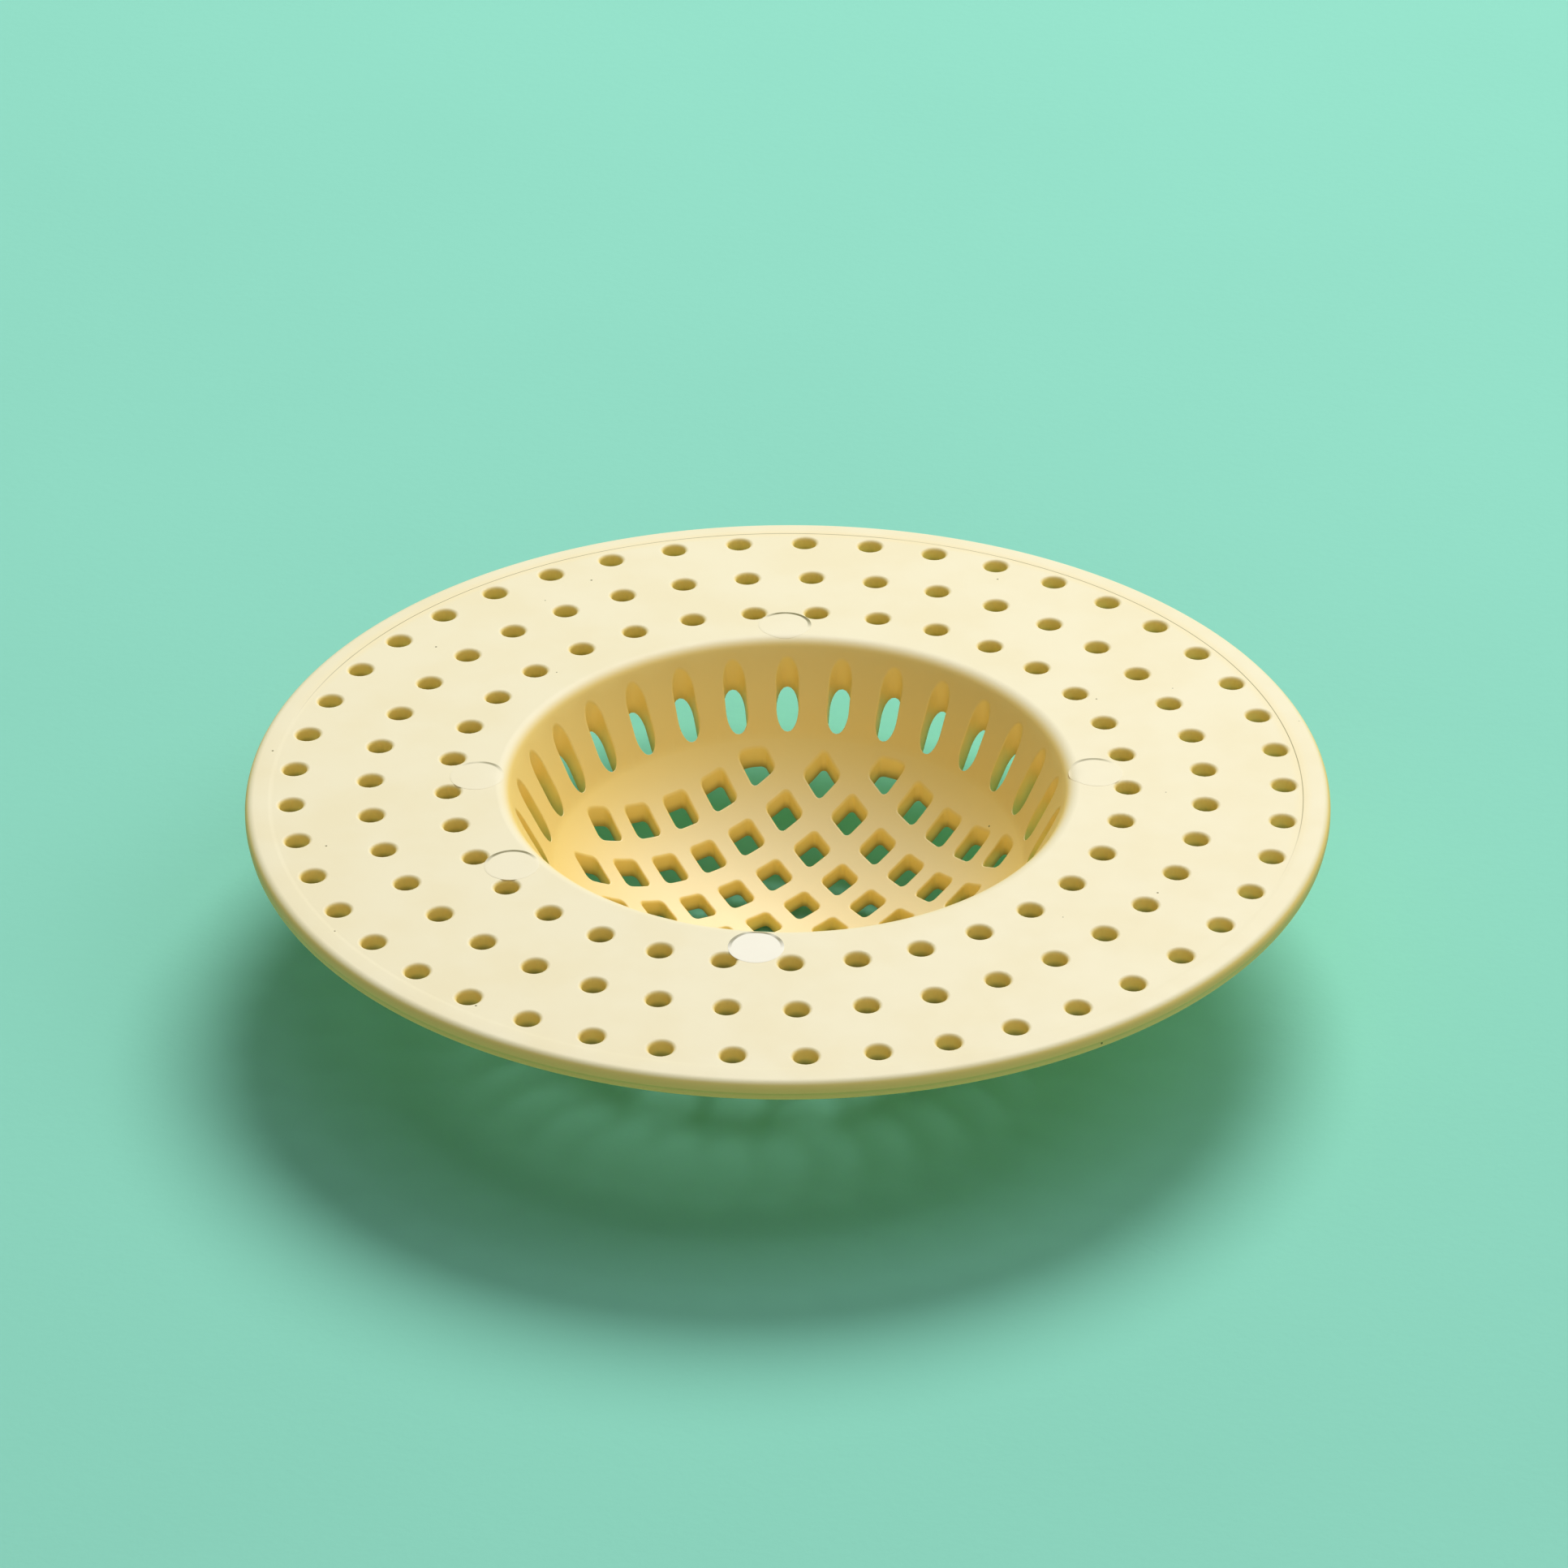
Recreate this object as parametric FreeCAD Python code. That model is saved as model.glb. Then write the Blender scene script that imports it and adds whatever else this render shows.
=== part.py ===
"""Sink strainer: one plastic moulding, drawn as the regions that it is made of.

A perforated flange falls gently outwards from a rounded mouth to a flat rim. Below the mouth a conical wall with
a ring of slots runs into a domed floor with a square lattice of holes. Slots and lattice holes are straight along
Z, the way the mould opens. Z is up, the foot stands on Z = 0 and the part is round about Z. The regions meet face
to face on upright cylinders that pass between the openings.
"""
import FreeCAD
import Part
import math
import os

# Flange and rim: millimetres and degrees
flange_diameter = 115.0
flange_thickness = 2.2
flange_fall_angle = 2.0
rim_band_width = 2.95
rim_step = 0.05
rim_top_radius = 0.95
rim_under_radius = 0.4
parting_height = 0.9
parting_step = 0.1

# Mouth and bowl
mouth_diameter = 59.7
lip_radius = 1.8
under_fillet_radius = 1.0
collar_land = 0.8
bowl_depth = 21.57
wall_depth = 9.4
wall_angle = 64.0
wall_thickness = 1.7
bend_radius = 4.0
foot_diameter = 8.0

# Round holes of the flange, in rings counted outwards
hole_diameter = 2.65
hole_chamfer = 0.3
hole_to_collar_gap = 2.27
hole_to_rim_gap = 0.325
ring_pitch = 8.3
inner_ring_holes = 33
holes_added_per_ring = 6
front_angle = -90.0
inner_ring_turn = 0.36
turn_added_per_ring = 0.75

# Slots of the wall
slot_count = 30
slot_width = 2.4
slot_corner_radius = 1.15
slot_top_depth = 1.8
slot_bottom_depth = 9.0
slot_to_collar_gap = 0.45
first_slot_angle = 90.0

# Lattice of the floor
lattice_pitch = 5.09
lattice_hole = 2.9
lattice_corner_radius = 0.5
lattice_angle = 36.06
lattice_offset_x = 0.36
lattice_offset_y = 0.61
lattice_to_slot_gap = 1.1

# Discs that the ejector pins leave: the gap of the inner ring that each is near, how far inside the ring, and its turn
pad_diameter = 5.8
pad_height = 0.12
pad_root = 0.6
pad_gaps = (-1, -6, -9, 8, 16)
pad_setbacks = (2.72, 2.59, 3.01, 3.27, 2.95)
pad_turns = (-0.59, 0.13, 0.36, -0.6, 0.08)

# Cutting tools reach this far past the surfaces that they cut
overrun = 2.0

# Largest share of a prism's smaller side that its corner rounding takes
corner_share = 0.48


def point(radius, height):
    """Point of the half section, which lies in the XZ plane."""
    return FreeCAD.Vector(radius, 0, height)


def rounded(start, centre, end):
    """Arc of under a half circle from start to end about centre."""
    radius = (start - centre).Length
    chord_side = (start + end) * 0.5 - centre
    middle = centre + chord_side.normalize() * radius
    return Part.Arc(start, middle, end).toShape()


def section(items):
    """Closed face of the half section from points and edges in order, straight where two points follow."""
    edges = []
    last = None
    first = None
    for item in items:
        is_edge = isinstance(item, Part.Edge)
        begin = item.valueAt(item.FirstParameter) if is_edge else item
        if last is not None and last.distanceToPoint(begin) > 1e-7:
            edges.append(Part.LineSegment(last, begin).toShape())
        if is_edge:
            edges.append(item)
        last = item.valueAt(item.LastParameter) if is_edge else item
        first = begin if first is None else first
    edges.append(Part.LineSegment(last, first).toShape())
    return Part.Face(Part.Wire(edges))


def turned(face):
    """Solid of revolution of a half section about Z."""
    return face.revolve(FreeCAD.Vector(), FreeCAD.Vector(0, 0, 1), 360)


def tube(inner, outer, low, high):
    """Upright ring from low to high; inner may be zero."""
    base = FreeCAD.Vector(0, 0, low)
    body = Part.makeCylinder(outer, high - low, base)
    return body.cut(Part.makeCylinder(inner, high - low, base)) if inner else body


def rounded_prism(length, width, corner, low, high):
    """Upright prism of a rounded rectangle about the Z axis, length along X."""
    corner = min(corner, corner_share * min(length, width))
    half_x = length / 2
    half_y = width / 2
    edges = []
    for quarter in range(4):
        turn = math.radians(90 * quarter)
        across = half_x if quarter % 2 == 0 else half_y
        along = half_y if quarter % 2 == 0 else half_x
        out = FreeCAD.Vector(math.cos(turn), math.sin(turn), 0)
        side = FreeCAD.Vector(-math.sin(turn), math.cos(turn), 0)
        begin = out * across - side * (along - corner)
        end = out * across + side * (along - corner)
        centre = end - out * corner
        edges.append(Part.LineSegment(begin, end).toShape())
        edges.append(rounded(end, centre, centre + side * corner))
    prism = Part.Face(Part.Wire(edges)).extrude(FreeCAD.Vector(0, 0, high - low))
    prism.translate(FreeCAD.Vector(0, 0, low))
    return prism


def placed(shape, angle, radius, height=0.0, tilt=0.0):
    """Copy of a shape moved out to a radius, leaned outwards by tilt and turned about Z, in degrees."""
    lean = FreeCAD.Rotation(FreeCAD.Vector(0, 1, 0), tilt)
    turn = FreeCAD.Rotation(FreeCAD.Vector(0, 0, 1), angle)
    copy = shape.copy()
    copy.Placement = FreeCAD.Placement(FreeCAD.Vector(), turn).multiply(
        FreeCAD.Placement(FreeCAD.Vector(radius, 0, height), lean))
    return copy


# Directions of the section: up the wall, square to it into the bowl, out along the flange and square down from it
fall = math.radians(flange_fall_angle)
steep = math.radians(wall_angle)
up_wall = point(math.cos(steep), math.sin(steep))
into_bowl = point(-math.sin(steep), math.cos(steep))
out_flange = point(math.cos(fall), -math.sin(fall))
under_flange = point(-math.sin(fall), -math.cos(fall))

# Domed floor: an arc through the bottom of the bowl and the knuckle where the wall starts
flange_radius = flange_diameter / 2
mouth_radius = mouth_diameter / 2
knuckle_radius = mouth_radius - wall_depth / math.tan(steep)
floor_height = bowl_depth - wall_depth
floor_radius = (knuckle_radius**2 + floor_height**2) / (2 * floor_height)
outer_floor_radius = floor_radius + wall_thickness
foot_rise = outer_floor_radius - math.sqrt(outer_floor_radius**2 - (foot_diameter / 2)**2)
floor_inside = wall_thickness - foot_rise
mouth_height = floor_inside + bowl_depth
mouth = point(mouth_radius, mouth_height)
knuckle = point(knuckle_radius, mouth_height - wall_depth)
floor_centre = point(0, floor_inside + floor_radius)

# Bend that blends the floor into the wall, on the hollow side where the wall is the steeper of the two
bend_turn = steep - math.asin(knuckle_radius / floor_radius)
bend_side = math.copysign(1.0, bend_turn)
chord = floor_radius * math.sin(bend_turn)
bend_drop = 2 * bend_side * bend_radius * floor_radius * (1 - math.cos(bend_turn))
bend_top = knuckle + up_wall * (chord - bend_side * math.sqrt(chord**2 - bend_drop))
bend_centre = bend_top + into_bowl * (bend_side * bend_radius)
bend_line = (bend_centre - floor_centre).normalize()


def bend_ends(offset):
    """Ends of the bend on the floor and on the wall, for the surface that lies offset outside the bowl's inside."""
    return floor_centre + bend_line * (floor_radius + offset), bend_top - into_bowl * offset


def bowl_radius(depth):
    """Inside radius of the bowl at a depth below the mouth."""
    height = mouth_height - depth
    on_floor, on_wall = bend_ends(0.0)
    if height >= on_wall.z:
        return mouth_radius - depth / math.tan(steep)
    if height >= on_floor.z:
        reach = math.sqrt(bend_radius**2 - (height - bend_centre.z)**2)
        return bend_centre.x + bend_side * reach
    return math.sqrt(floor_radius**2 - (floor_centre.z - height)**2)


# Corner roundings: the lip of the mouth, and the fillet where the wall's outside meets the flange's underside
half_corner = math.tan((steep + fall) / 2)
lip_low = mouth - up_wall * (lip_radius * half_corner)
lip_high = mouth + out_flange * (lip_radius * half_corner)
lip_centre = lip_high + under_flange * lip_radius
wall_outside = mouth - into_bowl * wall_thickness
flange_below = mouth + under_flange * flange_thickness
gap = flange_below - wall_outside
along = (gap.x * out_flange.z - gap.z * out_flange.x) / (up_wall.x * out_flange.z - up_wall.z * out_flange.x)
under_corner = wall_outside + up_wall * along
fillet_low = under_corner - up_wall * (under_fillet_radius * half_corner)
fillet_high = under_corner + out_flange * (under_fillet_radius * half_corner)
fillet_centre = fillet_high + under_flange * under_fillet_radius


def flange_height(radius):
    """Height of the flange's upper surface at a radius."""
    return mouth_height - (radius - mouth_radius) * math.tan(fall)


# Radii of the cylinders on which the regions meet, and of the hole rings, as many as fit at about their pitch
slot_outer = bowl_radius(slot_top_depth)
slot_inner = bowl_radius(slot_bottom_depth)
lattice_radius = slot_inner - lattice_to_slot_gap
floor_edge = slot_inner - lattice_to_slot_gap / 2
wall_edge = slot_outer + slot_to_collar_gap
collar_edge = max(lip_high.x, fillet_high.x) + collar_land
rim_line = flange_radius - rim_band_width
hole_reach = hole_diameter / 2 + hole_chamfer
inner_ring = collar_edge + hole_to_collar_gap + hole_reach
outer_ring = rim_line - hole_to_rim_gap - hole_reach
ring_steps = max(1, round((outer_ring - inner_ring) / ring_pitch))
ring_step = (outer_ring - inner_ring) / ring_steps
flange_depth = flange_thickness / math.cos(fall)
top = flange_height(0) + overrun


def moulding_blank():
    """Whole moulding inside the rim line, with no openings."""
    outer_low, outer_high = bend_ends(wall_thickness)
    inner_low, inner_high = bend_ends(0.0)
    outer_bottom = floor_centre - point(0, outer_floor_radius)
    inner_bottom = floor_centre - point(0, floor_radius)
    blank = turned(section([
        rounded(outer_bottom, floor_centre, outer_low),
        rounded(outer_low, bend_centre, outer_high),
        rounded(fillet_low, fillet_centre, fillet_high),
        point(rim_line, flange_height(rim_line) - flange_depth),
        point(rim_line, flange_height(rim_line)),
        rounded(lip_high, lip_centre, lip_low),
        rounded(inner_high, bend_centre, inner_low),
        rounded(inner_low, floor_centre, inner_bottom),
    ]))
    return blank.common(tube(0, flange_diameter, 0, top))


def outer_rim():
    """Flat band outside the rim line, with rounded edges and the small step of the mould's parting line."""
    low = flange_height(rim_line) - flange_depth
    high = flange_height(rim_line) + rim_step
    lower_radius = flange_radius - parting_step
    lower_corner = point(lower_radius - rim_under_radius, low + rim_under_radius)
    upper_corner = point(flange_radius - rim_top_radius, high - rim_top_radius)
    return turned(section([
        point(rim_line, low),
        rounded(lower_corner - point(0, rim_under_radius), lower_corner, lower_corner + point(rim_under_radius, 0)),
        point(lower_radius, low + parting_height),
        point(flange_radius, low + parting_height),
        rounded(upper_corner + point(rim_top_radius, 0), upper_corner, upper_corner + point(0, rim_top_radius)),
        point(rim_line, high),
    ]))


def hole_cutter():
    """Round hole with a chamfered upper edge, drawn about Z with the flange's surface at Z = 0."""
    bore = hole_diameter / 2
    low = -flange_thickness - overrun
    return turned(section([
        point(0, low),
        point(bore, low),
        point(bore, -hole_chamfer),
        point(hole_reach + hole_chamfer, hole_chamfer),
        point(0, hole_chamfer),
    ]))


def perforated_flange(blank):
    """Ring of the flange between collar and rim, with its rings of holes square to the surface."""
    cutter = hole_cutter()
    cutters = []
    for ring in range(ring_steps + 1):
        radius = inner_ring + ring * ring_step
        turn = inner_ring_turn + ring * turn_added_per_ring
        count = inner_ring_holes + ring * holes_added_per_ring
        for hole in range(count):
            angle = front_angle + turn + hole * 360 / count
            cutters.append(placed(cutter, angle, radius, flange_height(radius), flange_fall_angle))
    return blank.common(tube(collar_edge, rim_line, 0, top)).cut(cutters)


def mouth_collar(blank):
    """Ring that carries the rounded lip and joins the wall to the flange."""
    return blank.common(tube(wall_edge, collar_edge, 0, top))


def slotted_wall(blank):
    """Conical wall with its ring of upright slots."""
    slot = rounded_prism(slot_outer - slot_inner, slot_width, slot_corner_radius, -overrun, top)
    middle = (slot_outer + slot_inner) / 2
    cutters = [placed(slot, first_slot_angle + i * 360 / slot_count, middle) for i in range(slot_count)]
    return blank.common(tube(floor_edge, wall_edge, 0, top)).cut(cutters)


def lattice_floor(blank):
    """Domed floor with square holes on a turned grid; holes at the edge are clipped by a circle."""
    turn = FreeCAD.Rotation(FreeCAD.Vector(0, 0, 1), lattice_angle)
    offset = FreeCAD.Vector(lattice_offset_x, lattice_offset_y, 0)
    hole = rounded_prism(lattice_hole, lattice_hole, lattice_corner_radius, -overrun, top)
    field = tube(0, lattice_radius, -overrun, top)
    cells = math.ceil(lattice_radius / lattice_pitch)
    cutters = []
    for column in range(-cells, cells + 1):
        for row in range(-cells, cells + 1):
            if math.hypot(column, row) * lattice_pitch > lattice_radius:
                continue
            centre = turn.multVec(FreeCAD.Vector(column, row, 0) * lattice_pitch) + offset
            prism = hole.copy()
            prism.Placement = FreeCAD.Placement(centre, turn)
            reach = centre.Length + lattice_hole / math.sqrt(2)
            cutters.append(prism.common(field) if reach > lattice_radius else prism)
    return blank.common(tube(0, floor_edge, 0, top)).cut(cutters)


def ejector_pads(blank):
    """Thin discs that follow the flange's slope and fill the lip's rounding where they reach past it."""
    first = front_angle + inner_ring_turn
    step = 360 / inner_ring_holes
    centre_height = flange_height(0)
    reach = inner_ring + pad_diameter
    layer = turned(section([
        point(0, centre_height - pad_root),
        point(reach, flange_height(reach) - pad_root),
        point(reach, flange_height(reach) + pad_height),
        point(0, centre_height + pad_height),
    ]))
    disc = tube(0, pad_diameter / 2, 0, top + overrun)
    pads = []
    for gap_number, setback, turn in zip(pad_gaps, pad_setbacks, pad_turns):
        pad = placed(disc, first + (gap_number + 0.5) * step + turn, inner_ring - setback)
        pads.append(pad.common(layer).cut(blank).Solids[0])
    return Part.Compound(pads)


def main():
    blank = moulding_blank()
    nodes = {
        "outer_rim": outer_rim(),
        "perforated_flange": perforated_flange(blank),
        "mouth_collar": mouth_collar(blank),
        "slotted_wall": slotted_wall(blank),
        "lattice_floor": lattice_floor(blank),
        "ejector_pads": ejector_pads(blank),
    }
    os.makedirs("parts", exist_ok=True)
    for name, shape in nodes.items():
        shape.exportStep("parts/" + name + ".step")
        box = shape.BoundBox
        print("%-18s solids %d  valid %s  volume %9.2f mm3  z %.3f to %.3f" % (
            name, len(shape.Solids), shape.isValid(), shape.Volume, box.ZMin, box.ZMax))
    print("floor radius %.3f  knuckle radius %.3f  mouth height %.3f" % (floor_radius, knuckle_radius, mouth_height))
    print("slots from radius %.3f to %.3f, lattice to %.3f" % (slot_inner, slot_outer, lattice_radius))
    print("hole rings %.3f to %.3f, collar to %.3f, rim line %.3f" % (inner_ring, outer_ring, collar_edge, rim_line))


main()
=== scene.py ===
"""Sink strainer: the looks of a one-piece moulding in pale yellow plastic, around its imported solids.

The moulding is round about Z. Its upper and its lower skin are heights over the distance from the axis, each
a chain of arcs and straight stretches. Every opening runs straight along Z, so it is an outline in plan with
one profile carried round it: over a rounded upper edge, down the wall and over a rounded lower edge.
"""

import math

import bmesh
import bpy
import numpy as np
from mathutils import Matrix, Vector
from mathutils.geometry import delaunay_2d_cdt


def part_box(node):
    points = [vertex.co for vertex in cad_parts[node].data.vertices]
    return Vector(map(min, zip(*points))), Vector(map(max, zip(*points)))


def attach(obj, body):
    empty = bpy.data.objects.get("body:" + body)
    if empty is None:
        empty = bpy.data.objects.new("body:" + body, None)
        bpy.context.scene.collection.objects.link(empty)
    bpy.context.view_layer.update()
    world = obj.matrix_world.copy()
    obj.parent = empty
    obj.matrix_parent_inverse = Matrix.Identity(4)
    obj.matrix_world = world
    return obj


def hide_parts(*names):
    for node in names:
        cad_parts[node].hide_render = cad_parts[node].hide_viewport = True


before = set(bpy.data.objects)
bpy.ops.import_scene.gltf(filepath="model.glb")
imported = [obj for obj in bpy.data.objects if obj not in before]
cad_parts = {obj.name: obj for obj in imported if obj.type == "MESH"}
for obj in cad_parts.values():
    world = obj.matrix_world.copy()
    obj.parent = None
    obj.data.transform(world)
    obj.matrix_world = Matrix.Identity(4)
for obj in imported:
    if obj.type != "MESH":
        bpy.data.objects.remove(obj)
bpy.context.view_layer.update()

bl_info = {
    "name": "Sink Strainer",
    "version": (1, 0, 0),
    "blender": (4, 5, 0),
    "location": "View3D > Sidebar > Strainer",
    "description": "Builds a moulded sink strainer piece by piece",
    "category": "Object",
}

MM = 0.001

# Read from the frame: the rim's heights, the cylinders on which regions of the moulding meet, and the slot
RIM_LOW, RIM_TOP = (corner.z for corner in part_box("outer_rim"))
RIM_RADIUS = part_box("outer_rim")[1].x
RIM_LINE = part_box("perforated_flange")[1].x
FLANGE_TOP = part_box("perforated_flange")[1].z
COLLAR_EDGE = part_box("mouth_collar")[1].x
WALL_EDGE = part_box("slotted_wall")[1].x
FLOOR_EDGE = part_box("lattice_floor")[1].x

# Welding of points in metres, and of points in plan in millimetres, with triangles inside their outlines
WELD = 1e-6
PLAN_WELD = 1e-5
INSIDE_OUTLINES = 1

# Fineness of the meshes: usable share of an arc's radius, an edge's margin, steps or points along lines,
# and the angle from which an edge is a crease
ARC_END = 0.9999
EDGE_MARGIN = 0.06 * MM
UPPER_EDGE_STEPS = 5
LOWER_EDGE_STEPS = 3
CELL_ARC_POINTS = 12
CELL_SIDE_POINTS = 6
WALL_SIDE_POINTS = 12
OUTLINE_POINTS = 64
ROUND_STEPS = 480
CORNER_STEPS = 8
COLLAR_STEPS = 48
MARK_EDGE_STEPS = 4
CREASE_ANGLE = math.radians(60)

# Spare points of the floor's skins, in lattice pitches: spacing, and least distance from a hole's centre
SPARE_SPACING = 0.5
SPARE_CLEARANCE = 0.4

# Depth of a point in a bore, from 0 on the skins to 1, which sets the painted glow and painted shade of the
# openings' walls: below the upper rounding, where the brown of painted shade sets in, at the lowest row of
# each kind of opening, and the power by which it sets in over the rim's edge
BORE_TOP = 0.3
BORE_SHADE_START = 0.52
HOLE_LOWEST = 1.0
SLOT_LOWEST = 0.68
LATTICE_LOWEST = 0.78
RIM_TINT_POWER = 1.4

# Patterns of the finish, in features to the metre
DENSE_PATCHES = 90.0
SWELLS = 420.0
GRAINS = 2600.0
LINE_BREAKS = 55.0
SHADOW_BREAKS = 300.0
SPECK_CELLS = 600.0
PAPER_CLOUDS = 14.0
PAPER_GRAINS = 900.0

# Ranges over which a finish sets in: of noise, of a normal's upward part, of the distance inside the rim's
# side, of the cosine from the insert line's bearing, and of the distance from a speck's centre in cells
PATCH_RANGE = (0.35, 0.7)
LINE_BREAK_RANGE = (0.2, 0.5)
SHADOW_BREAK_RANGE = (0.2, 0.55)
STEEP_RANGE = (0.92, 0.6)
RIM_SIDE_RANGE = (0.9 * MM, 0.1 * MM)
LINE_RANGE = (-0.1, 0.3)
SPECK_RANGE = (0.09, 0.05)

# Surface of the plastic: specks, darkening, height and depth of the insert's line, swells, roughness and
# gloss
SPECK_SHARE = 0.02
LINE_DARKENING = 0.85
LINE_BELOW_TOP = 0.2 * MM
LINE_RELIEF = 2.0
SWELL_RELIEF = 0.6
ROUGHNESS_SWING = 0.12
PLASTIC_IOR = 1.49
PLASTIC_SPECULAR = 0.45

# Pin marks: rings inside the edge and reach of the painted shadow along the far edge, in widths of that dark
# line, the angle over which the painted shadow ends, and the share of paler plastic on the older ones
MARK_RINGS = (6.0, 3.0, 1.5, 1.0)
SHADOW_REACH = 1.25
SHADOW_END = math.radians(35)
OLDER_MARK = 0.15

# Stage: directions in plan, rings of the floor in metres, surface of its paper, start of the camera's
# sight, and the image's width in pixels
FRONT = -math.pi / 2
RIGHT = 0.0
FLOOR_RINGS = (0.0, 0.4, 1.0, 3.0)
PAPER_SHADE = 0.94
PAPER_BUMP = 0.3
PAPER_GRAIN_HEIGHT = 0.1 * MM
PAPER_ROUGHNESS = 0.85
PAPER_SPECULAR = 0.2
SIGHT_START = 10 * MM
IMAGE_WIDTH = 1932


# Properties

def length(name, description, millimetres):
    """Length in metres, with its default given in millimetres."""
    return bpy.props.FloatProperty(
        name=name, description=description, default=millimetres * MM, unit="LENGTH", precision=5)


def turn(name, description, degrees):
    """Angle in radians, with its default given in degrees."""
    return bpy.props.FloatProperty(
        name=name, description=description, default=math.radians(degrees), subtype="ANGLE", unit="ROTATION")


def number(name, description, default):
    """Count of a repeated feature."""
    return bpy.props.IntProperty(name=name, description=description, default=default, min=1)


def share(name, description, default):
    """Factor from nothing to all."""
    return bpy.props.FloatProperty(
        name=name, description=description, default=default, min=0.0, max=1.0, subtype="FACTOR")


def linear(value):
    """Linear light of a display value from 0 to 255."""
    part = value / 255
    return part / 12.92 if part <= 0.04045 else ((part + 0.055) / 1.055) ** 2.4


def colour(name, description, red, green, blue):
    """Colour, with its default given as display values from 0 to 255."""
    return bpy.props.FloatVectorProperty(
        name=name, description=description, default=(linear(red), linear(green), linear(blue)),
        min=0.0, max=1.0, size=3, subtype="COLOR")


def shift(name, description, pixels):
    """Shift in image widths, with its default given in pixels."""
    return bpy.props.FloatProperty(
        name=name, description=description, default=pixels / IMAGE_WIDTH, precision=5)


def for_marks(name, description, values, **kind):
    """One value for each of the pin marks."""
    return bpy.props.FloatVectorProperty(
        name=name, description=description, default=values, size=len(values), **kind)


def in_radians(*degrees):
    """Angles in radians."""
    return [math.radians(angle) for angle in degrees]


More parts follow.
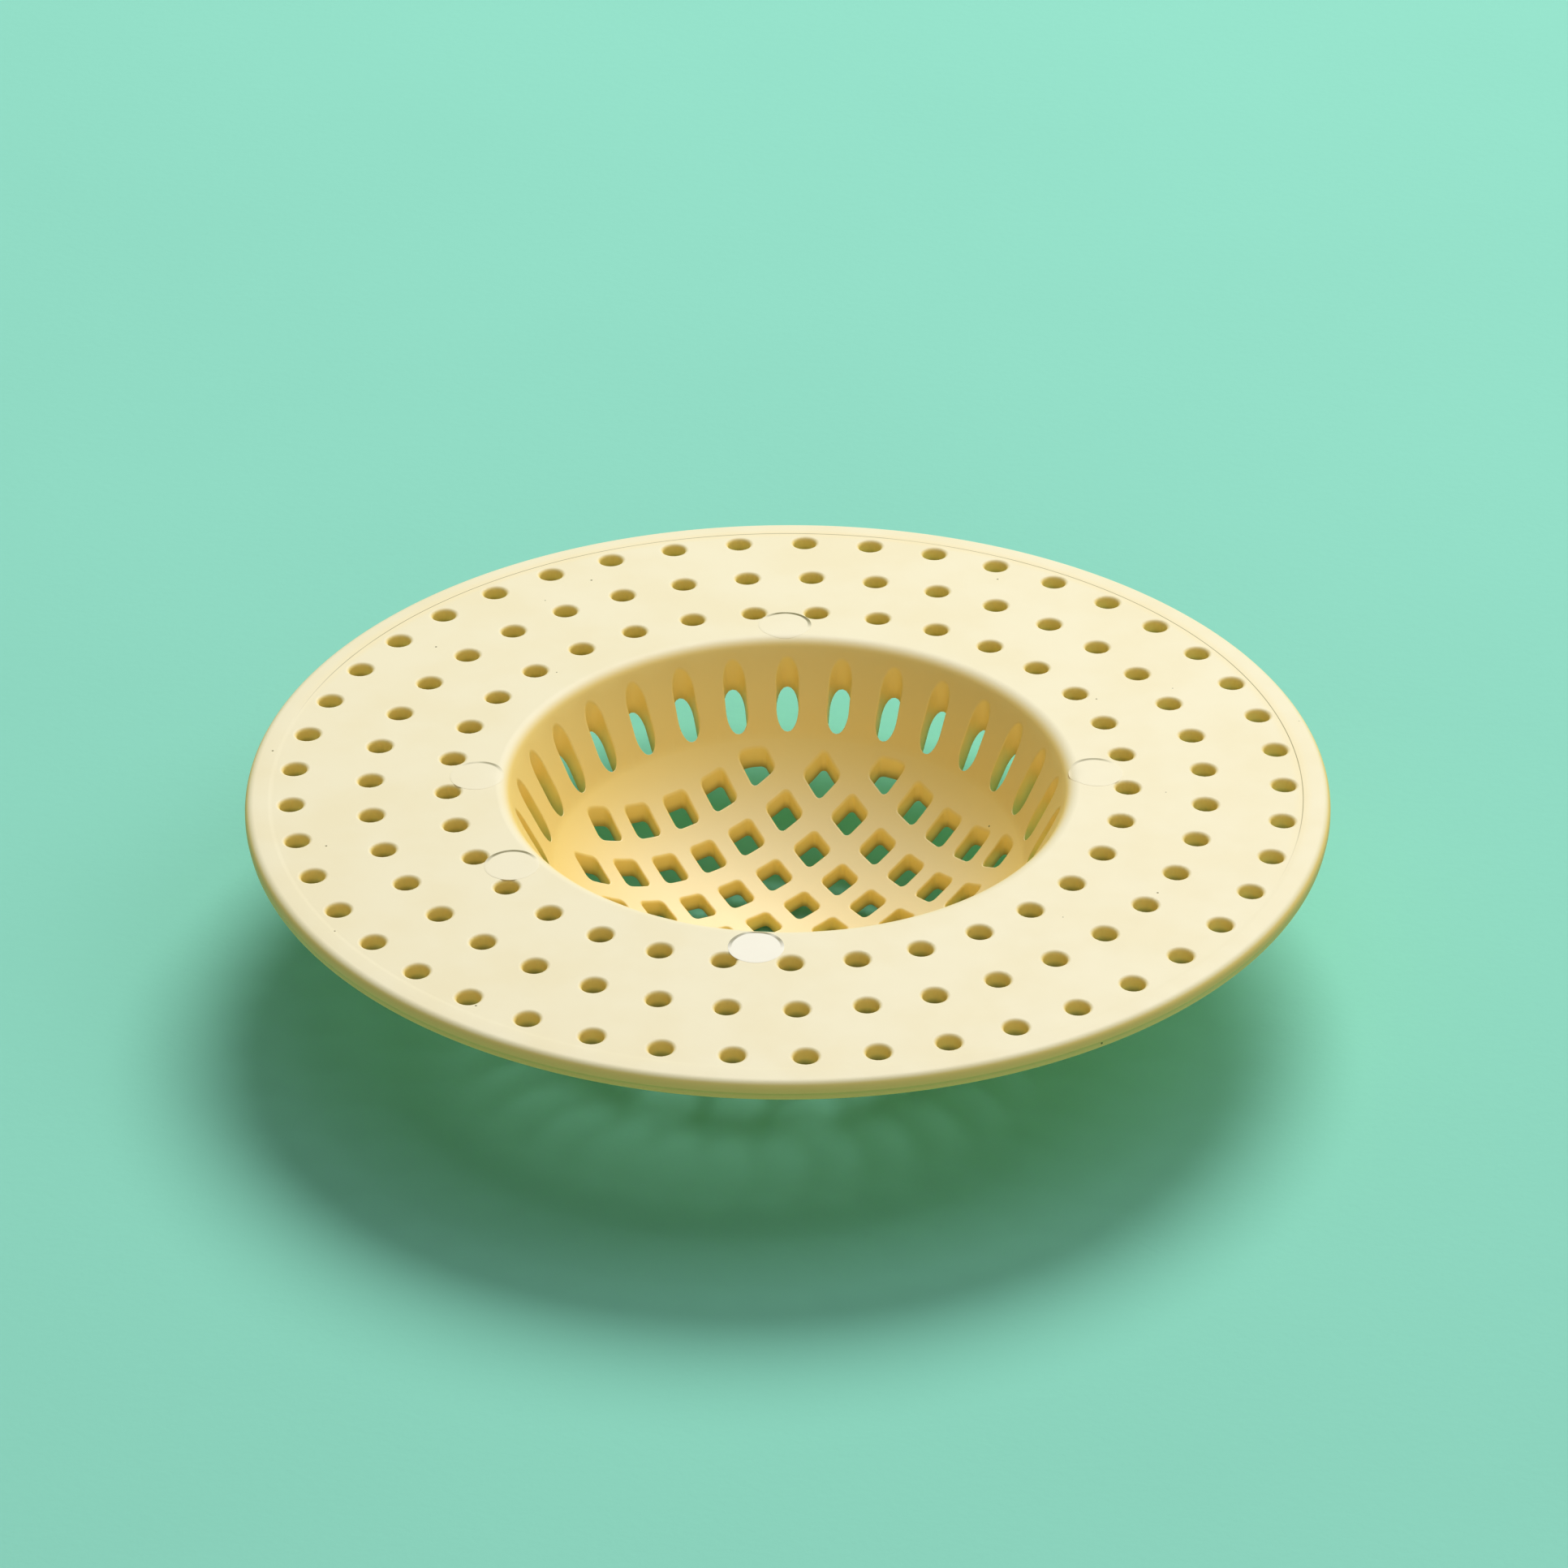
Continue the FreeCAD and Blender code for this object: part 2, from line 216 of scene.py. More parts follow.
class StrainerSizes(bpy.types.PropertyGroup):
    """Sizes of the moulding."""
    flange_thickness: length("Flange thickness", "Thickness of the perforated flange", 2.2)
    flange_fall: turn("Flange fall", "Angle at which the flange falls outwards", 2.0)
    rim_top_radius: length("Rim top radius", "Rounding of the rim's upper edge", 0.95)
    rim_under_radius: length("Rim under radius", "Rounding of the rim's lower edge", 0.4)
    rim_rise: length("Rim rise", "Height of the rim above the flange's slope", 0.03)
    rim_rise_width: length("Rim rise width", "Width over which the rim rises above the flange", 0.6)
    parting_height: length("Parting height", "Height of the parting line above the rim's underside", 0.9)
    parting_step: length("Parting step", "Offset of the two mould halves at the parting line", 0.1)
    flash_height: length("Flash height", "Height of the fine ridge left along the parting line", 0.06)
    mouth_diameter: length("Mouth diameter", "Diameter where wall and flange would meet", 59.7)
    lip_radius: length("Lip radius", "Rounding of the mouth's lip", 1.8)
    under_fillet_radius: length("Under fillet", "Fillet between the wall's outside and the flange", 1.0)
    bowl_depth: length("Bowl depth", "Depth of the bowl below the mouth", 21.57)
    wall_depth: length("Wall depth", "Depth at which the wall meets the floor", 9.4)
    wall_angle: turn("Wall angle", "Steepness of the wall", 64.0)
    wall_thickness: length("Wall thickness", "Thickness of wall and floor", 1.7)
    bend_radius: length("Bend radius", "Bend between floor and wall", 4.0)
    hole_diameter: length("Hole diameter", "Diameter of the flange's holes", 2.45)
    hole_rings: number("Hole rings", "Rings of holes in the flange", 3)
    inner_ring_holes: number("Inner ring holes", "Holes in the inner ring", 33)
    holes_added_per_ring: number("Holes added", "Holes that each further ring adds", 6)
    inner_ring_inset: length("Inner ring inset", "From the collar's edge to the inner ring of holes", 3.895)
    outer_ring_inset: length("Outer ring inset", "From the rim's line to the outer ring of holes", 1.95)
    front_angle: turn("Front", "Direction of the side that faces the viewer", -90.0)
    inner_ring_turn: turn("Inner ring turn", "Turn of the inner ring's first hole from the front", 0.36)
    turn_added_per_ring: turn("Turn added", "Turn that each further ring adds", 0.75)
    hole_edge: length("Hole edge", "Reach of the rounding at a hole's upper edge", 0.46)
    hole_under_edge: length("Hole under edge", "Reach of the rounding at a hole's lower edge", 0.06)
    slot_count: number("Slots", "Slots in the wall", 30)
    slot_width: length("Slot width", "Width of a slot", 2.4)
    slot_corner: length("Slot corner", "Corner radius of a slot in plan", 1.15)
    slot_top_depth: length("Slot top depth", "Depth of a slot's upper end below the mouth", 1.8)
    slot_bottom_depth: length("Slot bottom depth", "Depth of a slot's lower end below the mouth", 9.0)
    first_slot_angle: turn("First slot", "Direction of the first slot", 90.0)
    slot_edge: length("Slot edge", "Reach of the rounding at a slot's inner edge", 0.25)
    slot_under_edge: length("Slot under edge", "Reach of the rounding at a slot's outer edge", 0.1)
    lattice_pitch: length("Lattice pitch", "Distance between lattice holes", 5.09)
    lattice_hole: length("Lattice hole", "Side of a lattice hole", 2.9)
    lattice_corner: length("Lattice corner", "Corner radius of a lattice hole", 0.5)
    lattice_angle: turn("Lattice angle", "Turn of the lattice about the axis", 36.06)
    lattice_offset_x: length("Lattice offset X", "Offset of the lattice along X", 0.36)
    lattice_offset_y: length("Lattice offset Y", "Offset of the lattice along Y", 0.61)
    lattice_to_slot_gap: length("Lattice gap", "Band between the lattice and the slots", 1.1)
    lattice_clip_blend: length("Clip blend", "Rounding where the lattice's edge cuts a hole", 0.5)
    lattice_edge: length("Lattice edge", "Reach of the rounding at a lattice hole's upper edge", 0.3)
    lattice_under_edge: length("Lattice under edge", "Reach of the rounding at its lower edge", 0.1)
    mark_diameter: length("Mark diameter", "Diameter of the marks that ejector pins leave", 5.8)
    mark_height: length("Mark height", "Height of a mark above the flange", 0.02)
    mark_sag: length("Mark sag", "Depth to which a mark follows the lip's rounding", 0.3)
    mark_edge: length("Mark edge", "Rounding of a mark's edge", 0.02)
    # The dark line along a mark's far edge is painted shadow, as the far edge of a slightly sunk mark would
    # cast
    mark_shadow_line: length("Mark line", "Width of the dark line along a mark's far edge", 0.3)
    mark_gaps: bpy.props.IntVectorProperty(
        name="Mark gaps", description="Gaps of the inner ring of holes that hold a mark, from the front",
        default=(-1, -6, -9, 8, 16), size=5)
    mark_setbacks: for_marks(
        "Mark setbacks", "From the inner ring of holes inwards to each mark",
        [setback * MM for setback in (2.72, 2.59, 3.01, 3.27, 2.95)], unit="LENGTH", precision=5)
    mark_turns: for_marks(
        "Mark turns", "Turn of each mark from the middle of its gap",
        in_radians(-0.59, 0.13, 0.36, -0.6, 0.08), unit="ROTATION")
    # Strength, turn and span of the painted shadow along each mark's far edge
    mark_shadow: for_marks(
        "Mark soil", "Strength of the dirt along each mark's far edge",
        (0.9, 0.9, 0.7, 0.65, 1.0), min=0.0, max=1.0)
    mark_shadow_turns: for_marks(
        "Mark soil turns", "Turn of the dirt's middle from the far side to the right",
        in_radians(0.0, -5.0, 18.0, -8.0, 27.0), unit="ROTATION")
    mark_shadow_spans: for_marks(
        "Mark soil spans", "Angle from the dirt's middle to each end",
        in_radians(95.0, 75.0, 58.0, 55.0, 80.0), unit="ROTATION")


class StrainerFinish(bpy.types.PropertyGroup):
    """Colours and surface of the plastic."""
    cream: colour("Cream", "Main colour of the plastic", 247, 234, 198)
    cream_deep: colour("Deep cream", "Colour of its denser patches", 245, 230, 190)
    # The ambers are painted glow of light through the plastic, and shade on steep faces and the rim's side
    amber: colour("Amber", "Colour that the plastic takes below its upper face", 250, 230, 178)
    steep_shade_amber: colour("Steep amber", "Colour that it takes there on steep faces", 251, 219, 132)
    bore_glow_amber: colour("Bore amber", "Colour of the walls of openings", 255, 224, 128)
    # Bore brown is painted shade, darkening the openings' walls towards their bottoms
    bore_painted_shade: colour("Bore brown", "Colour to which the walls of openings darken downwards", 128, 98, 26)
    rim_shade_amber: colour("Rim amber", "Colour of the rim's side", 253, 203, 114)
    mark_cream: colour("Mark cream", "Colour of the freshest ejector mark", 251, 243, 224)
    # Colour of the specks, of the darkened insert line, and of the painted shadow along the pin marks' far
    # edges
    soil_and_shadow: colour("Soil", "Colour of specks and of dirt in fine lines", 112, 94, 28)
    roughness: share("Roughness", "Roughness of the moulded surface", 0.56)
    amber_depth: length("Amber depth", "Depth below the upper face at which the plastic is all amber", 0.4)
    grain: length("Grain", "Height of the moulded grain", 0.008)
    line_radius: length("Line radius", "Radius of the mould insert's line on the flange", 54.76)
    line_x: length("Line X", "Offset of the mould insert's line along X", -0.18)
    line_y: length("Line Y", "Offset of the mould insert's line along Y", 0.04)
    line_width: length("Line width", "Width of the mould insert's line", 0.08)
    stain_width: length("Stain width", "Reach of the faint stain beside the mould insert's line", 1.2)
    stain_share: share("Stain", "Share of amber in the stain beside the mould insert's line", 0.55)
    line_bearing: turn("Line bearing", "Direction in which the mould insert's line is strongest", 72.0)


class StrainerStage(bpy.types.PropertyGroup):
    """Floor, lamps and camera."""
    floor: colour("Floor", "Colour of the floor", 145, 221, 198)
    lamp_distance: length("Lamp distance", "Distance of the lamps", 1700.0)
    lamp_diameter: length("Lamp diameter", "Diameter of the lamps", 1000.0)
    key_share: share("Key", "Share of the floor's light that comes from the key lamp", 0.67)
    key_azimuth: turn("Key azimuth", "Direction of the key lamp in plan", 72.0)
    key_elevation: turn("Key elevation", "Height of the key lamp", 52.5)
    fill_share: share("Fill", "Share of the floor's light that comes from the fill lamp", 0.06)
    fill_elevation: turn("Fill elevation", "Height of the fill lamp", 80.0)
    side_share: share("Side", "Share of the floor's light that comes from the lamp at the right", 0.1)
    side_elevation: turn("Side elevation", "Height of the lamp at the right", 50.0)
    front_share: share("Front", "Share of the floor's light that comes from the low lamp at the front", 0.03)
    front_elevation: turn("Front elevation", "Height of the low lamp at the front", 22.0)
    room_share: share("Room", "Share of the floor's light that comes from all round", 0.155)
    sight_height: length("Sight height", "Height of the point that the camera faces", 22.24)
    distance: length("Camera distance", "Distance of the camera", 842.447)
    elevation: turn("Camera elevation", "Height of the camera", 31.06)
    roll: turn("Camera roll", "Lean of the camera", -0.1786)
    lens: bpy.props.FloatProperty(
        name="Lens", description="Focal length in millimetres", default=182.415, unit="CAMERA")
    shift_x: shift("Shift X", "Sideways shift, in image widths", -4.55)
    shift_y: shift("Shift Y", "Upward shift, in image widths", 1.95)


# Skins of the moulding

def arc(centre, radius, side):
    """Height and slope over the distance from the axis, on a circle's upper half (1) or lower half (-1)."""
    def evaluate(distance):
        across = np.clip((distance - centre[0]) / radius, -ARC_END, ARC_END)
        rise = np.sqrt(1.0 - across**2)
        return centre[1] + side * radius * rise, -side * across / rise
    return evaluate


def straight(start, slope):
    """Height and slope over the distance from the axis, on a straight stretch through a point."""
    def evaluate(distance):
        return start[1] + slope * (distance - start[0]), np.full_like(distance, slope)
    return evaluate


def chain(stretches, ends):
    """Height and slope of stretches that follow each other outwards, each up to its end."""
    def evaluate(distance):
        index = np.searchsorted(ends, distance)
        heights, slopes = zip(*(stretch(distance) for stretch in stretches))
        return np.choose(index, heights), np.choose(index, slopes)
    return evaluate


def standing(skin):
    """Skin that is cut flat at height zero, where the foot stands."""
    def evaluate(distance):
        height, slope = skin(distance)
        return np.maximum(height, 0.0), np.where(height < 0.0, 0.0, slope)
    return evaluate


def moulding_skins(sizes):
    """Upper and lower skin: domed floor, bend, wall, rounded corner and flange, from the axis outwards.

    The floor is an arc through the bottom of the bowl and the knuckle where the wall starts. The lower skin
    lies the wall's thickness outside the upper one, and its corner is where the wall's outside meets the
    flange's underside.
    """
    steep = sizes.wall_angle
    fall = sizes.flange_fall
    up_wall = np.array([math.cos(steep), math.sin(steep)])
    into_bowl = np.array([-math.sin(steep), math.cos(steep)])
    out_flange = np.array([math.cos(fall), -math.sin(fall)])
    under_flange = np.array([-math.sin(fall), -math.cos(fall)])
    mouth_radius = sizes.mouth_diameter / 2
    mouth = np.array([mouth_radius, FLANGE_TOP + (COLLAR_EDGE - mouth_radius) * math.tan(fall)])
    knuckle = mouth - up_wall * (sizes.wall_depth / math.sin(steep))
    floor_height = sizes.bowl_depth - sizes.wall_depth
    floor_radius = (knuckle[0]**2 + floor_height**2) / (2 * floor_height)
    floor_centre = np.array([0.0, mouth[1] - sizes.bowl_depth + floor_radius])
    bend_turn = steep - math.asin(knuckle[0] / floor_radius)
    chord = floor_radius * math.sin(bend_turn)
    drop = 2 * sizes.bend_radius * floor_radius * (1 - math.cos(bend_turn))
    bend_top = knuckle + up_wall * (chord - math.sqrt(chord**2 - drop))
    bend_centre = bend_top + into_bowl * sizes.bend_radius
    bend_line = (bend_centre - floor_centre) / np.linalg.norm(bend_centre - floor_centre)
    half_corner = math.tan((steep + fall) / 2)

    def skin(offset, corner, corner_radius):
        bend_low = floor_centre + bend_line * (floor_radius + offset)
        bend_high = bend_top - into_bowl * offset
        corner_low = corner - up_wall * (corner_radius * half_corner)
        corner_high = corner + out_flange * (corner_radius * half_corner)
        return chain(
            [arc(floor_centre, floor_radius + offset, -1),
             arc(bend_centre, sizes.bend_radius + offset, -1),
             straight(bend_high, math.tan(steep)),
             arc(corner_high + under_flange * corner_radius, corner_radius, 1),
             straight(corner_high, -math.tan(fall))],
            [bend_low[0], bend_high[0], corner_low[0], corner_high[0]])

    wall_outside = mouth - into_bowl * sizes.wall_thickness
    flange_below = mouth + under_flange * sizes.flange_thickness
    along = np.linalg.solve(np.stack([up_wall, -out_flange], axis=1), flange_below - wall_outside)[0]
    upper = skin(0.0, mouth, sizes.lip_radius)
    lower = skin(sizes.wall_thickness, wall_outside + up_wall * along, sizes.under_fillet_radius)
    return upper, standing(lower)


def over(plan, height):
    """Points at heights over places in plan."""
    return np.concatenate([plan, height[..., None]], axis=-1)


def lifted(plan, skin):
    """Points of a skin over places in plan."""
    return over(plan, skin(np.linalg.norm(plan, axis=-1))[0])


# Openings

def directions(angles):
    """Unit vectors in plan."""
    return np.stack([np.cos(angles), np.sin(angles)], axis=-1)


def full_turn(count):
    """Angles of a full turn in equal steps."""
    return np.linspace(0.0, 2 * math.pi, count, endpoint=False)


def outline_distance(angles, half_length, half_width, corner):
    """Distance from the centre to a rounded rectangle, along rays at angles from its length."""
    along = np.abs(np.cos(angles))
    across = np.abs(np.sin(angles))
    flat_x = half_length - corner
    flat_y = half_width - corner
    middle = along * flat_x + across * flat_y
    round_corner = middle + np.sqrt(np.maximum(middle**2 - flat_x**2 - flat_y**2 + corner**2, 0.0))
    to_end = half_length / np.maximum(along, WELD)
    to_side = half_width / np.maximum(across, WELD)
    reach = np.where(to_end * across <= flat_y, to_end, round_corner)
    return np.where(to_side * along <= flat_x, to_side, reach)


def outward_of(outline, centres):
    """Unit vectors in plan, square to closed outlines and pointing away from their centres."""
    ahead = np.roll(outline, -1, axis=1) - outline
    ahead /= np.linalg.norm(ahead, axis=-1, keepdims=True)
    tangent = ahead + np.roll(ahead, 1, axis=1)
    normal = np.stack([tangent[..., 1], -tangent[..., 0]], axis=-1)
    normal /= np.linalg.norm(normal, axis=-1, keepdims=True)
    away = np.sum(normal * (outline - centres[:, None]), axis=-1, keepdims=True)
    return normal * np.sign(away)


def rounded_edge(outline, outward, skin, reach, side, steps):
    """Rounded edge between an opening's wall and a skin, in rows from the wall to a margin on the skin.

    In the upright plane across the edge the rounding is an arc that touches wall and skin, each at the same
    reach from their corner. Where the skin climbs away from the opening, the arc turns through a right angle
    less that climb. side is 1 for the upper edge and -1 for the lower one, where heights are mirrored.
    """
    distance = np.linalg.norm(outline, axis=-1)
    height, slope = skin(distance)
    climb = side * np.arctan(slope * np.sum(outline * outward, axis=-1) / distance)
    radius = reach * np.tan(math.pi / 4 + climb / 2)
    part = np.linspace(0.0, 1.0, steps + 1)[:, None]
    swept = part * (math.pi / 2 - climb)[:, None]
    plan = outline[:, None] + (radius[:, None] * (1.0 - np.cos(swept)))[..., None] * outward[:, None]
    centre = side * height - reach
    rise = side * (centre[:, None] + radius[:, None] * np.sin(swept))
    rise += part**2 * (lifted(plan[:, -1], skin)[..., 2] - rise[:, -1])[:, None]
    margin = lifted(plan[:, -1:] + EDGE_MARGIN * outward[:, None], skin)
    return np.concatenate([over(plan, rise), margin], axis=1)


def opening_walls(outline, centres, skins, upper_reach, lower_reach):
    """Rows of points through openings: upper margin and rounding, wall, lower rounding and margin."""
    outward = outward_of(outline, centres)
    upper = rounded_edge(outline, outward, skins[0], upper_reach, 1, UPPER_EDGE_STEPS)
    lower = rounded_edge(outline, outward, skins[1], lower_reach, -1, LOWER_EDGE_STEPS)
    return np.concatenate([upper[:, ::-1], lower], axis=1)


def ring_cells(count, inner, outer, inner_start, outer_start, inner_points, outer_points, side_points):
    """Closed loops in plan round the cells of a ring: inner arc, one side, outer arc back, the other side."""
    step = 2 * math.pi / count
    rise = np.linspace(0.0, 1.0, side_points, endpoint=False)
    along = np.linspace(0.0, step, inner_points, endpoint=False)
    back = np.linspace(step, 0.0, outer_points, endpoint=False)
    lean = outer_start - inner_start
    distance = np.concatenate([
        np.full(inner_points, inner), inner + (outer - inner) * rise,
        np.full(outer_points, outer), outer + (inner - outer) * rise])
    angle = np.concatenate([
        inner_start + along, inner_start + step + lean * rise, outer_start + back, outer_start - lean * rise])
    turns = step * np.arange(count)[:, None]
    return distance[:, None] * directions(angle + turns)


def wall_shading(lowest):
    """How deep in the bore each row through an opening lies; it sets the walls' painted glow and painted
    shade.

    The value rises from 0 on the upper skin to BORE_TOP over the upper rounding, and to the lowest row's
    value at the lower edge. It is 0 again on the lower skin.
    """
    upper = np.linspace(0.0, BORE_TOP, UPPER_EDGE_STEPS + 1)
    return np.concatenate([[0.0], upper, np.full(LOWER_EDGE_STEPS + 1, lowest), [0.0]])


def pierced_cells(cells, centres, outline, skins, upper_reach, lower_reach, lowest, cylinders):
    """Rows of points from a cell's edge over the upper skin, through its opening and back below.

    Returns their patch, and patches that close the cells along upright cylinders.
    """
    upper, lower = skins
    walls = opening_walls(outline, centres, skins, upper_reach, lower_reach)
    upper_middle = (cells + walls[:, 0, :, :2]) / 2
    lower_middle = (cells + walls[:, -1, :, :2]) / 2
    points = np.concatenate([
        lifted(cells, upper)[:, None], lifted(upper_middle, upper)[:, None], walls,
        lifted(lower_middle, lower)[:, None], lifted(cells, lower)[:, None]], axis=1)
    patch = closed_rows(points, np.concatenate([np.zeros(2), wall_shading(lowest), np.zeros(2)]))
    closing = [closing_quads(numbered(points), cells, radius) for radius in cylinders]
    return patch, [(points, quads, patch[2]) for quads in closing]


# Faces

def numbered(points, first=0):
    """Index of each point of a grid."""
    return np.arange(first, first + points[..., 0].size).reshape(points.shape[:-1])


def grid_quads(index):
    """Quads between neighbouring rows of a grid whose rows close on themselves."""
    ahead = np.roll(index, -1, axis=-1)
    corners = [index[..., :-1, :], ahead[..., :-1, :], ahead[..., 1:, :], index[..., 1:, :]]
    return np.stack(corners, axis=-1).reshape(-1, 4)


def closed_rows(points, rows=None):
    """Patch of a grid whose rows close on themselves: its points, quads and each row's shading value."""
    values = np.zeros(points.shape[-3]) if rows is None else rows
    return points, grid_quads(numbered(points)), np.broadcast_to(values[:, None], points.shape[:-1])


def closing_quads(index, cells, radius):
    """Quads of the upright wall between the first and last rows, where the cells meet a cylinder."""
    on_cylinder = np.abs(np.linalg.norm(cells, axis=-1) - radius) < WELD
    ahead = np.roll(index, -1, axis=-1)
    quads = np.stack([index[:, -1], ahead[:, -1], ahead[:, 0], index[:, 0]], axis=-1)
    return quads[on_cylinder & np.roll(on_cylinder, -1, axis=-1)]


def turned(profile, rows=None):
    """Patch of a profile of distances and heights that is carried round the axis."""
    plan = profile[:, None, :1] * directions(full_turn(ROUND_STEPS))
    height = np.broadcast_to(profile[:, None, 1], plan.shape[:-1])
    return closed_rows(over(plan, height), rows)


def skin_normals(points, skins):
    """Exact normals of the points that lie on a skin, and zeros for the rest, which keep their own."""
    distance = np.linalg.norm(points[:, :2], axis=1)
    away = points[:, :2] / np.maximum(distance, WELD)[:, None]
    normals = np.zeros_like(points)
    for skin, side in zip(skins, (1, -1)):
        height, slope = skin(distance)
        tilt = np.concatenate([-slope[:, None] * away, np.ones((len(points), 1))], axis=1)
        tilt *= side / np.linalg.norm(tilt, axis=1, keepdims=True)
        on_skin = np.abs(points[:, 2] - height) < WELD
        normals[on_skin] = tilt[on_skin]
    return normals


def store(mesh, name, values):
    """Gives a mesh an attribute with one value for each vertex."""
    mesh.attributes.new(name, "FLOAT", "POINT").data.foreach_set("value", values)


def vertex_places(mesh):
    """Places of a mesh's vertices, one row for each."""
    places = np.empty(3 * len(mesh.vertices))
    mesh.vertices.foreach_get("co", places)
    return places.reshape(-1, 3)


def in_scene(name, data):
    """Object at the origin, linked to the scene, that holds a mesh, a lamp or a camera."""
    made = bpy.data.objects.new(name, data)
    bpy.context.scene.collection.objects.link(made)
    return made


def weld(mesh):
    """Merges the points where patches meet, turns the faces outwards and makes sure the mesh is closed."""
    shape = bmesh.new()
    shape.from_mesh(mesh)
    bmesh.ops.remove_doubles(shape, verts=shape.verts, dist=WELD)
    bmesh.ops.recalc_face_normals(shape, faces=shape.faces)
    open_edges = sum(not edge.is_manifold for edge in shape.edges)
    shape.to_mesh(mesh)
    shape.free()
    if open_edges:
        raise RuntimeError("%s has %d open edges" % (mesh.name, open_edges))


def moulded_piece(name, cad_node, material, smooth_patches, wall_patches=()):
    """Closed object from patches of points and faces, welded where they meet, in place of a CAD node.

    The walls on which regions meet are shaded flat, and points on the skins get exact normals, so that the
    shading runs on from one region to the next.
    """
    points = []
    faces = []
    smooth = []
    shading = []
    first = 0
    for patch, is_smooth in [(p, True) for p in smooth_patches] + [(p, False) for p in wall_patches]:
        points.append(patch[0].reshape(-1, 3))
        faces.extend((patch[1] + first).tolist())
        smooth.extend([is_smooth] * len(patch[1]))
        shading.append(patch[2].reshape(-1))
        first += len(points[-1])
    mesh = bpy.data.meshes.new(name)
    mesh.from_pydata(np.concatenate(points).tolist(), [], faces)
    mesh.polygons.foreach_set("use_smooth", smooth)
    store(mesh, "bore", np.concatenate(shading))
    weld(mesh)
    mesh.set_sharp_from_angle(angle=CREASE_ANGLE)
    skins = moulding_skins(bpy.context.scene.strainer_sizes)
    mesh.normals_split_custom_set_from_vertices(skin_normals(vertex_places(mesh), skins).tolist())
    mesh.materials.append(material)
    piece = in_scene(name, mesh)
    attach(piece, "root")
    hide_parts(cad_node)
    return piece


# Materials

def node(tree, kind, inputs=None, **settings):
    """Adds a node, with its settings and with a value or a link for each input named."""
    made = tree.nodes.new(kind)
    for key, value in settings.items():
        setattr(made, key, value)
    for socket, value in (inputs or {}).items():
        if isinstance(value, bpy.types.NodeSocket):
            tree.links.new(value, made.inputs[socket])
        else:
            made.inputs[socket].default_value = value
    return made


def calculate(tree, operation, first, second=0.0):
    """Result of a math node."""
    return node(tree, "ShaderNodeMath", {0: first, 1: second}, operation=operation).outputs[0]


def product(tree, first, second):
    """Product of two values."""
    return calculate(tree, "MULTIPLY", first, second)


def vector_outputs(tree, operation, first, second=(0.0, 0.0, 0.0)):
    """Outputs of a vector math node."""
    return node(tree, "ShaderNodeVectorMath", {0: first, 1: second}, operation=operation).outputs


def part_along(tree, axis, vector):
    """Part of a vector along an axis."""
    return node(tree, "ShaderNodeSeparateXYZ", {0: vector}).outputs[axis]


def attribute(tree, name):
    """Value of an attribute of the mesh."""
    return node(tree, "ShaderNodeAttribute", attribute_name=name).outputs["Fac"]


def between(tree, value, low, high):
    """Value mapped smoothly from the range low to high onto 0 to 1; falling where low is the larger."""
    inputs = {"Value": value, "From Min": low, "From Max": high}
    return node(tree, "ShaderNodeMapRange", inputs, interpolation_type="SMOOTHSTEP").outputs["Result"]


def blended(tree, factor, first, second):
    """Mix of two colours."""
    return node(tree, "ShaderNodeMix", {0: factor, 6: first, 7: second}, data_type="RGBA").outputs[2]


def cloud(tree, place, scale, detail=2.0):
    """Factor of a noise texture with so many features to the metre."""
    inputs = {"Vector": place, "Scale": scale, "Detail": detail}
    return node(tree, "ShaderNodeTexNoise", inputs).outputs["Fac"]


def solid(values):
    """Colour with full opacity."""
    return (*values, 1.0)


def empty_material(name):
    """Material with a shader and an output, and the Object coordinates that its textures read."""
    material = bpy.data.materials.new(name)
    material.use_nodes = True
    tree = material.node_tree
    tree.nodes.clear()
    shader = node(tree, "ShaderNodeBsdfPrincipled")
    node(tree, "ShaderNodeOutputMaterial", {"Surface": shader.outputs["BSDF"]})
    place = node(tree, "ShaderNodeTexCoord").outputs["Object"]
    return material, tree, shader, place


def axis_distance(tree, place):
    """Distance of a point from the axis."""
    flat = vector_outputs(tree, "MULTIPLY", place, (1.0, 1.0, 0.0))["Vector"]
    return vector_outputs(tree, "LENGTH", flat)["Value"]


def depth_below(tree, place, distance):
    """Depth of a point below the flange's upper face, whose slope is carried on over the bowl."""
    fall = math.tan(bpy.context.scene.strainer_sizes.flange_fall)
    face = calculate(tree, "SUBTRACT", FLANGE_TOP + COLLAR_EDGE * fall, product(tree, distance, fall))
    return calculate(tree, "SUBTRACT", face, part_along(tree, "Z", place))


def insert_line(tree, place, finish):
    """Fine circle that the mould's insert leaves on the flange's upper face, and the faint stain beside it.

    Both are strongest towards one side, by the cosine of the angle from it.
    """
    offset = vector_outputs(tree, "SUBTRACT", place, (finish.line_x, finish.line_y, 0.0))["Vector"]
    from_line = calculate(tree, "SUBTRACT", axis_distance(tree, offset), finish.line_radius)
    away = calculate(tree, "ABSOLUTE", from_line)
    bearing = (math.cos(finish.line_bearing), math.sin(finish.line_bearing), 0.0)
    ahead = vector_outputs(tree, "DOT_PRODUCT", offset, bearing)["Value"]
    side = between(tree, ahead, *(cosine * finish.line_radius for cosine in LINE_RANGE))
    above = between(tree, part_along(tree, "Z", place), (RIM_LOW + RIM_TOP) / 2, RIM_TOP - LINE_BELOW_TOP)
    shown = product(tree, side, above)
    return [product(tree, between(tree, away, width, 0.0), shown)
            for width in (finish.line_width, finish.stain_width)]


def specks(tree, place):
    """Dark grains in the plastic: the centres of a few cells of a cell texture."""
    cells = node(tree, "ShaderNodeTexVoronoi", {"Vector": place, "Scale": SPECK_CELLS}).outputs
    chosen = calculate(tree, "GREATER_THAN", part_along(tree, "X", cells["Color"]), 1.0 - SPECK_SHARE)
    return product(tree, between(tree, cells["Distance"], *SPECK_RANGE), chosen)


